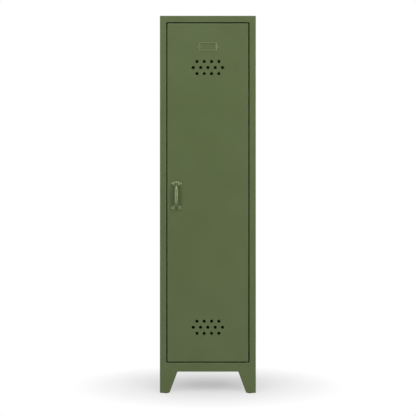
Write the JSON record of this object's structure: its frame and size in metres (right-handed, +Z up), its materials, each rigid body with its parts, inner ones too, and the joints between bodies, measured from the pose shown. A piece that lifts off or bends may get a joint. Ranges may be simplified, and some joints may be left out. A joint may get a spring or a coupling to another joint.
{
  "type": "skinny locker",
  "caption": "Tall narrow steel locker on tapered legs, with an inset vented door on pivot pins, a bow pull handle, a card holder, a hat shelf and a coat rail.",
  "frame": {"origin": "on the floor, under the middle of the whole footprint with the handle included", "axes": "+X to the right as seen from the front, -Y out of the door, +Z up"},
  "size_m": [0.465, 0.4961, 1.83],
  "materials": {
    "locker_green": "satin olive green powder coat",
    "zinc_steel": "bright zinc plate",
    "rail_chrome": "chrome plated tube",
    "black_plastic": "moulded black plastic",
    "black_rubber": "moulded rubber",
    "catch_plastic": "moulded off-white plastic",
    "magnet_ferrite": "sintered ferrite",
    "nylon": "natural nylon"
  },
  "bodies": {
    "carcass": {"front_frame": "locker_green", "back_panel": "locker_green", "left_side_panel": "locker_green", "right_side_panel": "locker_green", "top_panel": "locker_green", "floor_panel": "locker_green", "hat_shelf": "locker_green", "left_shelf_bearer": "locker_green", "right_shelf_bearer": "locker_green", "door_strike": "locker_green", "left_rail_bracket": "zinc_steel", "right_rail_bracket": "zinc_steel", "coat_rail": "rail_chrome", "rail_end_caps": "black_plastic", "rail_rivets": "zinc_steel", "front_left_glide": "black_plastic", "front_right_glide": "black_plastic", "rear_left_glide": "black_plastic", "rear_right_glide": "black_plastic", "door_bumpers": "black_rubber", "catch_housing": "catch_plastic", "catch_pole_plates": "zinc_steel", "catch_magnet": "magnet_ferrite", "catch_screws": "zinc_steel", "lower_hinge_pin": "locker_green", "upper_hinge_pin": "locker_green", "thrust_washer": "black_plastic"},
    "door": {"door_panel": "locker_green", "door_stiffener": "locker_green", "lower_pivot_plate": "zinc_steel", "upper_pivot_plate": "zinc_steel", "lower_hinge_bush": "nylon", "upper_hinge_bush": "nylon", "pull_handle": "locker_green", "handle_screws": "locker_green", "handle_nuts": "zinc_steel", "label_holder": "locker_green", "label_rivets": "locker_green"}
  },
  "joints": [
    {"name": "door_hinge", "type": "hinge", "parent": "carcass", "child": "door", "pos_m": [0.189, -0.203, 0.9], "axis": [0, 0, 1], "range_deg": [0, 105]}
  ]
}
